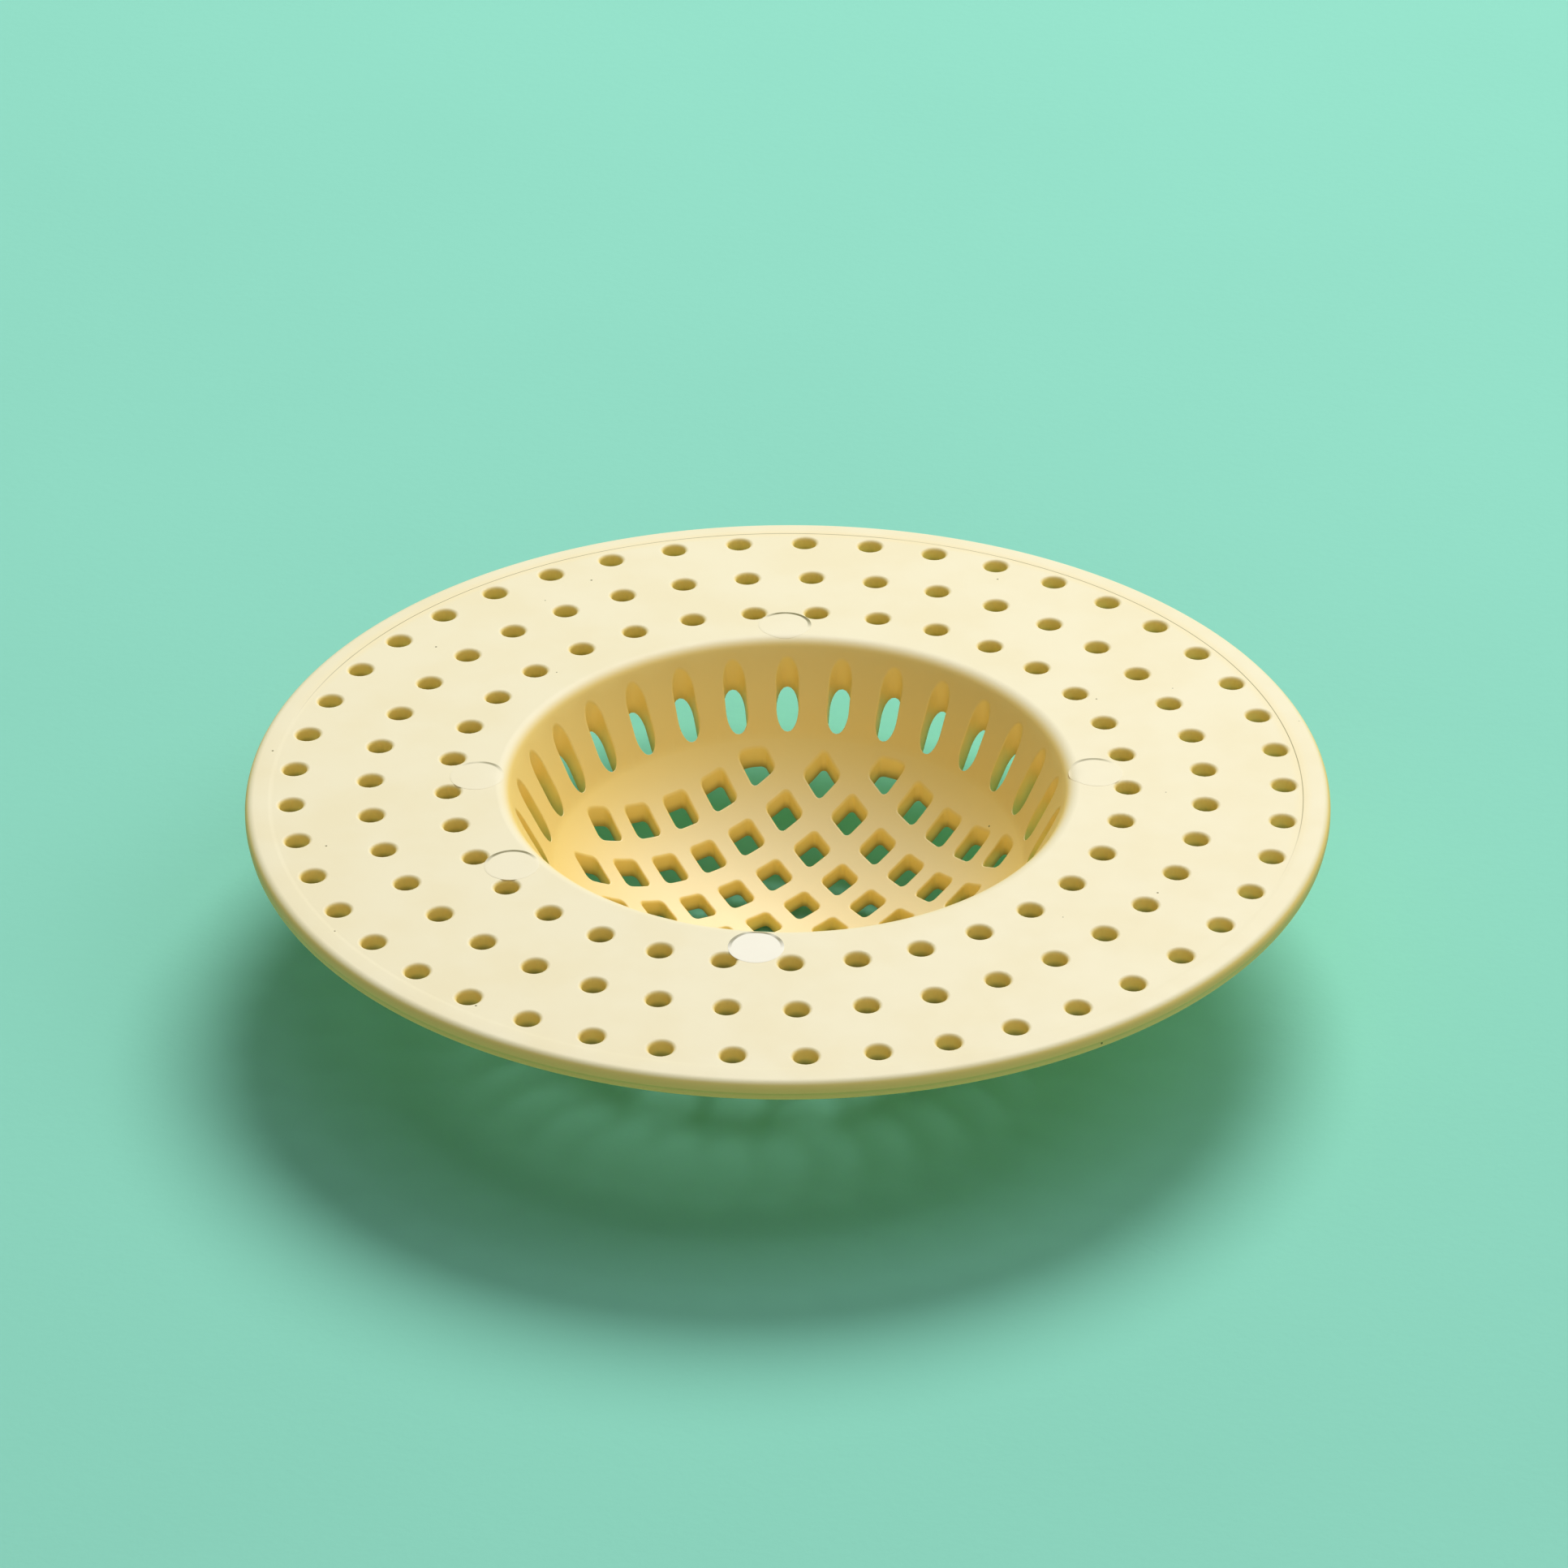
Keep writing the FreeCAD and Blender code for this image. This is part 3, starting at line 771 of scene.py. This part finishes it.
def plastic_body(tree, place, finish):
    """Colour of the plastic: cream with faint denser patches, and amber tints of painted glow and shade."""
    patches = between(tree, cloud(tree, place, DENSE_PATCHES, detail=3.0), *PATCH_RANGE)
    cream = blended(tree, patches, solid(finish.cream), solid(finish.cream_deep))
    distance = axis_distance(tree, place)
    upward = part_along(tree, "Z", node(tree, "ShaderNodeTexCoord").outputs["Normal"])
    # Amber below the upper face is painted glow of light through the plastic; on steep faces, painted shade
    amber = blended(tree, between(tree, upward, *STEEP_RANGE), solid(finish.amber), solid(finish.steep_shade_amber))
    deep = between(tree, depth_below(tree, place, distance), 0.0, finish.amber_depth)
    body = blended(tree, deep, cream, amber)
    # The rim's side takes rim amber as painted shade, and the openings' walls bore amber as painted glow
    outside = between(tree, distance, *(RIM_RADIUS - inset for inset in RIM_SIDE_RANGE))
    side = blended(tree, outside, solid(finish.bore_glow_amber), solid(finish.rim_shade_amber))
    bore = attribute(tree, "bore")
    wall = blended(tree, between(tree, bore, 0.0, BORE_TOP), body, side)
    # Brown low in the openings' walls is painted shade
    return blended(tree, between(tree, bore, BORE_SHADE_START, 1.0), wall, solid(finish.bore_painted_shade))


def finish_plastic(tree, shader, place, finish, colour_socket, line=0.0):
    """Satin surface with a fine moulded grain, sunk along a line."""
    swell = cloud(tree, place, SWELLS)
    grain = cloud(tree, place, GRAINS, detail=1.0)
    smoothest = finish.roughness - ROUGHNESS_SWING / 2
    rough = calculate(tree, "ADD", product(tree, swell, ROUGHNESS_SWING), smoothest)
    fine = product(tree, grain, 1.0 - SWELL_RELIEF)
    relief = calculate(tree, "ADD", product(tree, swell, SWELL_RELIEF), fine)
    sunk = calculate(tree, "SUBTRACT", relief, product(tree, line, LINE_RELIEF))
    bump = node(tree, "ShaderNodeBump", {"Height": sunk, "Strength": 1.0, "Distance": finish.grain})
    tree.links.new(colour_socket, shader.inputs["Base Color"])
    tree.links.new(rough, shader.inputs["Roughness"])
    tree.links.new(bump.outputs["Normal"], shader.inputs["Normal"])
    shader.inputs["IOR"].default_value = PLASTIC_IOR
    shader.inputs["Specular IOR Level"].default_value = PLASTIC_SPECULAR


def moulding_plastic():
    """The moulding's plastic, made once: cream to amber, with specks and the line of the mould's insert."""
    found = bpy.data.materials.get("cream_moulding")
    if found:
        return found
    finish = bpy.context.scene.strainer_finish
    material, tree, shader, place = empty_material("cream_moulding")
    line, stain = insert_line(tree, place, finish)
    broken = between(tree, cloud(tree, place, LINE_BREAKS), *LINE_BREAK_RANGE)
    # The insert's line is darkened, broken up by noise
    darkened_line = product(tree, product(tree, line, broken), LINE_DARKENING)
    darkened = calculate(tree, "MAXIMUM", specks(tree, place), darkened_line)
    faint = product(tree, stain, finish.stain_share)
    stained = blended(tree, faint, plastic_body(tree, place, finish), solid(finish.amber))
    finish_plastic(tree, shader, place, finish, blended(tree, darkened, stained, solid(finish.soil_and_shadow)), line)
    return material


def mark_plastic():
    """Plastic of the pin marks: paler where a mark is fresh, with a painted shadow along the far edge of
    each.
    """
    finish = bpy.context.scene.strainer_finish
    material, tree, shader, place = empty_material("pin_mark")
    broken = between(tree, cloud(tree, place, SHADOW_BREAKS), *SHADOW_BREAK_RANGE)
    darkened = product(tree, attribute(tree, "soil_and_shadow"), broken)
    plain = plastic_body(tree, place, finish)
    body = blended(tree, attribute(tree, "fresh"), plain, solid(finish.mark_cream))
    finish_plastic(tree, shader, place, finish, blended(tree, darkened, body, solid(finish.soil_and_shadow)))
    return material


def floor_material(stage):
    """Plain paper floor with a faint grain."""
    material, tree, shader, place = empty_material("paper_floor")
    shade = [PAPER_SHADE * part for part in stage.floor]
    clouds = cloud(tree, place, PAPER_CLOUDS, detail=3.0)
    tree.links.new(blended(tree, clouds, solid(stage.floor), solid(shade)), shader.inputs["Base Color"])
    grain = cloud(tree, place, PAPER_GRAINS)
    relief = {"Height": grain, "Strength": PAPER_BUMP, "Distance": PAPER_GRAIN_HEIGHT}
    tree.links.new(node(tree, "ShaderNodeBump", relief).outputs["Normal"], shader.inputs["Normal"])
    shader.inputs["Roughness"].default_value = PAPER_ROUGHNESS
    shader.inputs["Specular IOR Level"].default_value = PAPER_SPECULAR
    return material


# Pieces

class STRAINER_OT_rim(bpy.types.Operator):
    """Outer band of the flange: a rounded profile with the parting line's ridge, carried round the axis

    It rises above the flange's slope by a cubic that starts and ends level.
    """
    bl_idname = "strainer.rim"
    bl_label = "Rim"

    def execute(self, context):
        sizes = context.scene.strainer_sizes
        upper, lower = moulding_skins(sizes)
        parting = RIM_LOW + sizes.parting_height
        under_radius = RIM_RADIUS - sizes.parting_step
        quarter = np.linspace(0.0, math.pi / 2, CORNER_STEPS + 1)
        top_radius = RIM_RADIUS - sizes.rim_top_radius
        top_height = upper(np.array([top_radius]))[0][0] + sizes.rim_rise
        top_centre = np.array([top_radius, top_height - sizes.rim_top_radius])
        top_edge = top_centre + sizes.rim_top_radius * directions(quarter[::-1])
        under_centre = np.array([under_radius - sizes.rim_under_radius, RIM_LOW + sizes.rim_under_radius])
        under_edge = under_centre + sizes.rim_under_radius * directions(-quarter)
        across = np.linspace(RIM_LINE, RIM_LINE + sizes.rim_rise_width, CORNER_STEPS + 1)
        part = (across - RIM_LINE) / sizes.rim_rise_width
        eased = part**2 * (3 - 2 * part)
        rise = np.stack([across, upper(across)[0] + sizes.rim_rise * eased], axis=-1)
        ridge = np.array([
            [RIM_RADIUS, parting + sizes.flash_height],
            [RIM_RADIUS, parting],
            [under_radius, parting]])
        low = np.array([RIM_LINE, lower(np.array([RIM_LINE]))[0][0]])
        profile = np.concatenate([rise, top_edge, ridge, under_edge, low[None]])
        # Over the top rounding the rim fades into its side colour, which is painted shade
        over_edge = BORE_TOP * np.linspace(0.0, 1.0, len(top_edge))**RIM_TINT_POWER
        below = np.full(len(ridge) + len(under_edge), BORE_SHADE_START)
        rows = np.concatenate([np.zeros(len(rise)), over_edge, below, [0.0]])
        wall = np.stack([profile[0], low])
        moulded_piece(
            "strainer_rim", "outer_rim", moulding_plastic(), [turned(profile, rows)], [turned(wall)])
        return {"FINISHED"}


class STRAINER_OT_flange(bpy.types.Operator):
    """Flange with its rings of round holes: each hole's profile runs from its cell's edge through the hole

    The circle between two rings has a number of points that both hole counts divide.
    """
    bl_idname = "strainer.flange"
    bl_label = "Flange"

    def execute(self, context):
        sizes = context.scene.strainer_sizes
        skins = moulding_skins(sizes)
        radius = sizes.hole_diameter / 2
        inner_ring = COLLAR_EDGE + sizes.inner_ring_inset
        rings = np.linspace(inner_ring, RIM_LINE - sizes.outer_ring_inset, sizes.hole_rings)
        bounds = [COLLAR_EDGE, *((rings[1:] + rings[:-1]) / 2), RIM_LINE]
        counts = [sizes.inner_ring_holes + ring * sizes.holes_added_per_ring
                  for ring in range(sizes.hole_rings)]
        shared = [math.lcm(*pair) for pair in zip(counts, counts[1:])]
        inner_totals = [CELL_ARC_POINTS * counts[0], *shared]
        outer_totals = [*shared, CELL_ARC_POINTS * counts[-1]]
        patches = []
        walls = []
        outer_start = None
        for ring, count in enumerate(counts):
            step = 2 * math.pi / count
            first = sizes.front_angle + sizes.inner_ring_turn + ring * sizes.turn_added_per_ring
            start = first - step / 2
            spacing = 2 * math.pi / inner_totals[ring]
            inner_start = start if outer_start is None else (
                outer_start + spacing * round((start - outer_start) / spacing))
            outer_start = start
            cells = ring_cells(
                count, bounds[ring], bounds[ring + 1], inner_start, outer_start,
                inner_totals[ring] // count, outer_totals[ring] // count, CELL_SIDE_POINTS)
            centres = rings[ring] * directions(first + step * np.arange(count))
            rays = cells - centres[:, None]
            outline = centres[:, None] + radius * rays / np.linalg.norm(rays, axis=-1, keepdims=True)
            patch, closing = pierced_cells(
                cells, centres, outline, skins, sizes.hole_edge, sizes.hole_under_edge, HOLE_LOWEST,
                (COLLAR_EDGE, RIM_LINE))
            patches.append(patch)
            walls.extend(closing)
        moulded_piece("strainer_flange", "perforated_flange", moulding_plastic(), patches, walls)
        return {"FINISHED"}


class STRAINER_OT_collar(bpy.types.Operator):
    """Collar with the mouth's rounded lip: both skins carried round the axis"""
    bl_idname = "strainer.collar"
    bl_label = "Collar"

    def execute(self, context):
        upper, lower = moulding_skins(context.scene.strainer_sizes)
        distance = np.linspace(WALL_EDGE, COLLAR_EDGE, COLLAR_STEPS + 1)
        top = np.stack([distance, upper(distance)[0]], axis=-1)
        under = np.stack([distance, lower(distance)[0]], axis=-1)
        skins = [turned(top), turned(under)]
        ends = [turned(np.stack([top[end], under[end]])) for end in (0, -1)]
        moulded_piece("strainer_collar", "mouth_collar", moulding_plastic(), skins, ends)
        return {"FINISHED"}


def slot_ends(sizes):
    """Distances from the axis at which the slots end, where the wall has their depths."""
    mouth_radius = sizes.mouth_diameter / 2
    return [mouth_radius - depth / math.tan(sizes.wall_angle)
            for depth in (sizes.slot_top_depth, sizes.slot_bottom_depth)]


class STRAINER_OT_wall(bpy.types.Operator):
    """Steep wall of the bowl: each slot's profile runs from its cell's edge through the slot"""
    bl_idname = "strainer.wall"
    bl_label = "Slotted wall"

    def execute(self, context):
        sizes = context.scene.strainer_sizes
        skins = moulding_skins(sizes)
        count = sizes.slot_count
        step = 2 * math.pi / count
        start = sizes.first_slot_angle - step / 2
        cells = ring_cells(
            count, FLOOR_EDGE, WALL_EDGE, start, start, CELL_ARC_POINTS, CELL_ARC_POINTS, WALL_SIDE_POINTS)
        slot_top, slot_bottom = slot_ends(sizes)
        bearings = sizes.first_slot_angle + step * np.arange(count)
        centres = (slot_top + slot_bottom) / 2 * directions(bearings)
        rays = cells - centres[:, None]
        angles = np.arctan2(rays[..., 1], rays[..., 0])
        reach = outline_distance(
            angles - bearings[:, None], (slot_top - slot_bottom) / 2, sizes.slot_width / 2, sizes.slot_corner)
        outline = centres[:, None] + reach[..., None] * directions(angles)
        patch, walls = pierced_cells(
            cells, centres, outline, skins, sizes.slot_edge, sizes.slot_under_edge, SLOT_LOWEST,
            (FLOOR_EDGE, WALL_EDGE))
        moulded_piece("strainer_wall", "slotted_wall", moulding_plastic(), [patch], walls)
        return {"FINISHED"}


def lattice_grid(sizes, step):
    """Grid positions in pitches, a step apart, that cover the floor, and their places in plan."""
    cells = math.ceil(FLOOR_EDGE / sizes.lattice_pitch)
    side = np.arange(-cells, cells + step, step)
    grid = np.stack(np.meshgrid(side, side, indexing="ij"), axis=-1).reshape(-1, 2)
    along, across = directions(np.array([sizes.lattice_angle, sizes.lattice_angle + math.pi / 2]))
    offset = np.array([sizes.lattice_offset_x, sizes.lattice_offset_y])
    return grid, sizes.lattice_pitch * (grid[:, :1] * along + grid[:, 1:] * across) + offset


def floor_triangles(loops, rim, spare):
    """Triangles between the openings' loops, the rim and spare points, numbered in that order.

    A triangle whose corners all lie on one loop is inside that opening, and is left out.
    """
    points = np.concatenate([loops.reshape(-1, 2), rim, spare]) / MM
    index = numbered(loops)
    rim_index = numbered(rim, index.size)
    edges = np.concatenate([
        np.stack([index, np.roll(index, -1, axis=1)], axis=-1).reshape(-1, 2),
        np.stack([rim_index, np.roll(rim_index, -1)], axis=-1)])
    vectors = [Vector(point) for point in points.tolist()]
    _, _, faces, origins, _, _ = delaunay_2d_cdt(vectors, edges.tolist(), [], INSIDE_OUTLINES, PLAN_WELD)
    source = np.array([origin[0] for origin in origins])
    triangles = source[np.array(faces)]
    loop = np.where(triangles < index.size, triangles // loops.shape[1], -1 - triangles)
    return triangles[np.ptp(loop, axis=1) > 0]


class STRAINER_OT_floor(bpy.types.Operator):
    """Domed floor with its lattice: a profile carried round each opening, and skins between the openings

    The openings are rounded squares, clipped by a circle about the axis with a smooth minimum of both
    reaches. Their number at the circle is uneven, so the skins are triangles in plan, lifted onto the dome.
    """
    bl_idname = "strainer.floor"
    bl_label = "Lattice floor"

    def execute(self, context):
        sizes = context.scene.strainer_sizes
        skins = moulding_skins(sizes)
        limit = slot_ends(sizes)[1] - sizes.lattice_to_slot_gap
        grid, places = lattice_grid(sizes, 1)
        centres = places[np.linalg.norm(grid, axis=1) * sizes.lattice_pitch <= limit]
        angles = full_turn(OUTLINE_POINTS)
        half = sizes.lattice_hole / 2
        rays = directions(angles + sizes.lattice_angle)
        to_side = outline_distance(angles, half, half, sizes.lattice_corner)
        ahead = centres @ rays.T
        to_limit = np.sqrt(ahead**2 - np.sum(centres**2, axis=1)[:, None] + limit**2) - ahead
        blend = np.maximum(1.0 - np.abs(to_side - to_limit) / sizes.lattice_clip_blend, 0.0)
        reach = np.minimum(to_side, to_limit) - blend**2 * sizes.lattice_clip_blend / 4
        outline = centres[:, None] + reach[..., None] * rays
        walls = opening_walls(outline, centres, skins, sizes.lattice_edge, sizes.lattice_under_edge)
        rim = FLOOR_EDGE * directions(full_turn(ROUND_STEPS))
        fine, spots = lattice_grid(sizes, SPARE_SPACING)
        nearest = np.rint(fine)
        beside = np.max(np.abs(fine - nearest), axis=1) > SPARE_CLEARANCE
        unpierced = np.linalg.norm(nearest, axis=1) * sizes.lattice_pitch > limit
        inside = np.linalg.norm(spots, axis=1) < limit - half / 2
        spare = spots[(beside | unpierced) & inside]
        triangles = floor_triangles((walls[:, 0, :, :2] + walls[:, -1, :, :2]) / 2, rim, spare)
        patches = [closed_rows(walls, wall_shading(LATTICE_LOWEST))]
        edges = []
        for skin, row in zip(skins, (0, -1)):
            edges.append(lifted(rim, skin))
            points = np.concatenate([walls[:, row].reshape(-1, 3), edges[-1], lifted(spare, skin)])
            patches.append((points, triangles, np.zeros(len(points))))
        band = closed_rows(np.stack(edges))
        moulded_piece("strainer_floor", "lattice_floor", moulding_plastic(), patches, [band])
        return {"FINISHED"}


class STRAINER_OT_pin_marks(bpy.types.Operator):
    """Thin discs that the ejector pins leave: rings of points just over the flange, closed below its face

    A disc lies flat on the flange and sags a little where the lip falls away. Attributes say how fresh a disc
    is, and where a painted shadow lines its far edge.
    """
    bl_idname = "strainer.pin_marks"
    bl_label = "Pin marks"

    def execute(self, context):
        sizes = context.scene.strainer_sizes
        upper = moulding_skins(sizes)[0]
        inner_ring = COLLAR_EDGE + sizes.inner_ring_inset
        gaps = np.array(sizes.mark_gaps) + 0.5
        bearings = sizes.front_angle + sizes.inner_ring_turn + gaps * 2 * math.pi / sizes.inner_ring_holes
        out = inner_ring - np.array(sizes.mark_setbacks)
        centres = out[:, None] * directions(bearings + np.array(sizes.mark_turns))
        around = directions(full_turn(OUTLINE_POINTS))
        radius = sizes.mark_diameter / 2
        quarter = np.linspace(0.0, math.pi / 2, MARK_EDGE_STEPS + 1)
        inside = radius - sizes.mark_shadow_line * np.array(MARK_RINGS)
        over_edge = radius - sizes.mark_edge * (1.0 - np.sin(quarter))
        reach = np.concatenate([[0.0], inside, over_edge, [radius], inside[::-1], [0.0]])
        top_rows = 1 + len(inside) + len(over_edge)
        drop = np.zeros(len(reach))
        drop[top_rows - len(over_edge):top_rows] = sizes.mark_edge * (1.0 - np.cos(quarter))
        plan = centres[:, None, None] + reach[:, None, None] * around
        distance = np.linalg.norm(plan, axis=-1)
        flange = FLANGE_TOP - (distance - COLLAR_EDGE) * math.tan(sizes.flange_fall)
        sunk = np.minimum(flange - upper(distance)[0], sizes.mark_sag)
        top = flange - sunk + sizes.mark_height - drop[:, None]
        under = upper(distance)[0] - sizes.mark_height
        is_top = (np.arange(len(reach)) < top_rows)[:, None]
        patch = closed_rows(over(plan, np.where(is_top, top, under)))
        marks = moulded_piece("pin_marks", "ejector_pads", mark_plastic(), [patch])
        # Painted shadow along each mark's far edge, strongest about its middle and fading towards both ends
        offsets = vertex_places(marks.data)[:, None, :2] - centres
        lengths = np.linalg.norm(offsets, axis=-1)
        nearest = np.argmin(lengths, axis=1)
        rows = np.arange(len(nearest))
        bearing = np.arctan2(offsets[rows, nearest, 0], offsets[rows, nearest, 1])
        aside = np.abs(bearing - np.array(sizes.mark_shadow_turns)[nearest])
        within = (np.array(sizes.mark_shadow_spans)[nearest] - aside) / SHADOW_END
        at_edge = lengths[rows, nearest] > radius - SHADOW_REACH * sizes.mark_shadow_line
        strength = np.array(sizes.mark_shadow)[nearest]
        store(marks.data, "soil_and_shadow", strength * at_edge * np.clip(within, 0.0, 1.0))
        store(marks.data, "fresh", np.where(nearest == 0, 1.0, OLDER_MARK))
        return {"FINISHED"}


# Stage

def area_lamp(name, azimuth, elevation, stage, irradiance):
    """Round lamp that faces the origin and lights a level floor there with a share of plain white light.

    Its power is that share times the squares of pi and of the distance, over the sine of its elevation.
    """
    across = math.cos(elevation)
    towards = Vector((across * math.cos(azimuth), across * math.sin(azimuth), math.sin(elevation)))
    lamp = bpy.data.lights.new(name, "AREA")
    lamp.shape = "DISK"
    lamp.size = stage.lamp_diameter
    lamp.energy = irradiance * math.pi**2 * stage.lamp_distance**2 / math.sin(elevation)
    facing = towards.to_track_quat("Z", "Y").to_matrix().to_4x4()
    in_scene(name, lamp).matrix_world = Matrix.Translation(towards * stage.lamp_distance) @ facing


def room_light(stage):
    """Even light from all round; the camera and reflections see the floor's colour beyond its edge."""
    world = bpy.data.worlds.new("room")
    world.use_nodes = True
    tree = world.node_tree
    tree.nodes.clear()
    rays = node(tree, "ShaderNodeLightPath").outputs
    seen = calculate(tree, "MAXIMUM", rays["Is Camera Ray"], rays["Is Glossy Ray"])
    seen = calculate(tree, "MAXIMUM", seen, rays["Is Transmission Ray"])
    glow = node(tree, "ShaderNodeBackground", {"Color": (1.0, 1.0, 1.0, 1.0), "Strength": stage.room_share})
    view = node(tree, "ShaderNodeBackground", {"Color": solid(stage.floor), "Strength": 1.0})
    mixed = node(tree, "ShaderNodeMixShader", {0: seen, 1: glow.outputs[0], 2: view.outputs[0]})
    node(tree, "ShaderNodeOutputWorld", {"Surface": mixed.outputs[0]})
    bpy.context.scene.world = world


class STRAINER_OT_stage(bpy.types.Operator):
    """Plain pale floor, soft light from behind, all round, the right and the front, and the camera"""
    bl_idname = "strainer.stage"
    bl_label = "Stage"

    def execute(self, context):
        scene = context.scene
        stage = scene.strainer_stage
        scene.view_settings.view_transform = "Standard"
        plan = np.array(FLOOR_RINGS)[:, None, None] * directions(full_turn(OUTLINE_POINTS))
        points = over(plan, np.zeros(plan.shape[:-1]))
        mesh = bpy.data.meshes.new("floor")
        mesh.from_pydata(points.reshape(-1, 3).tolist(), [], grid_quads(numbered(points))[:, ::-1].tolist())
        mesh.materials.append(floor_material(stage))
        in_scene("floor", mesh)
        for name, azimuth, elevation, irradiance in (
                ("key", stage.key_azimuth, stage.key_elevation, stage.key_share),
                ("fill", FRONT, stage.fill_elevation, stage.fill_share),
                ("side", RIGHT, stage.side_elevation, stage.side_share),
                ("front", FRONT, stage.front_elevation, stage.front_share)):
            area_lamp(name, azimuth, elevation, stage, irradiance)
        room_light(stage)
        camera = bpy.data.cameras.new("camera")
        camera.lens = stage.lens
        camera.shift_x = stage.shift_x
        camera.shift_y = stage.shift_y
        camera.clip_start = SIGHT_START
        back = Vector((0.0, -math.cos(stage.elevation), math.sin(stage.elevation))) * stage.distance
        tilt = Matrix.Rotation(math.pi / 2 - stage.elevation, 4, "X")
        lean = Matrix.Rotation(stage.roll, 4, "Z")
        place = Matrix.Translation(Vector((0.0, 0.0, stage.sight_height)) + back)
        scene.camera = in_scene("camera", camera)
        scene.camera.matrix_world = place @ tilt @ lean
        return {"FINISHED"}


OPERATORS = (
    STRAINER_OT_rim, STRAINER_OT_flange, STRAINER_OT_collar, STRAINER_OT_wall, STRAINER_OT_floor,
    STRAINER_OT_pin_marks, STRAINER_OT_stage)
GROUPS = {"strainer_sizes": StrainerSizes, "strainer_finish": StrainerFinish, "strainer_stage": StrainerStage}


class STRAINER_PT_panel(bpy.types.Panel):
    """Lists the strainer's pieces and sizes in the sidebar"""
    bl_idname = "STRAINER_PT_panel"
    bl_label = "Sink Strainer"
    bl_space_type = "VIEW_3D"
    bl_region_type = "UI"
    bl_category = "Strainer"

    def draw(self, context):
        for operator in OPERATORS:
            self.layout.operator(operator.bl_idname)
        for group_name in GROUPS:
            group = getattr(context.scene, group_name)
            box = self.layout.box()
            for name in group.__annotations__:
                box.prop(group, name)


CLASSES = (*GROUPS.values(), *OPERATORS, STRAINER_PT_panel)


def register():
    """Registers the classes and gives the scene its properties."""
    for item in CLASSES:
        bpy.utils.register_class(item)
    for name, group in GROUPS.items():
        setattr(bpy.types.Scene, name, bpy.props.PointerProperty(type=group))


def unregister():
    """Takes the properties and the classes away again."""
    for name in GROUPS:
        delattr(bpy.types.Scene, name)
    for item in reversed(CLASSES):
        bpy.utils.unregister_class(item)


def main():
    """Builds the pieces and the stage in order."""
    register()
    bpy.ops.strainer.rim()
    bpy.ops.strainer.flange()
    bpy.ops.strainer.collar()
    bpy.ops.strainer.wall()
    bpy.ops.strainer.floor()
    bpy.ops.strainer.pin_marks()
    bpy.ops.strainer.stage()


if __name__ == "__main__":
    main()
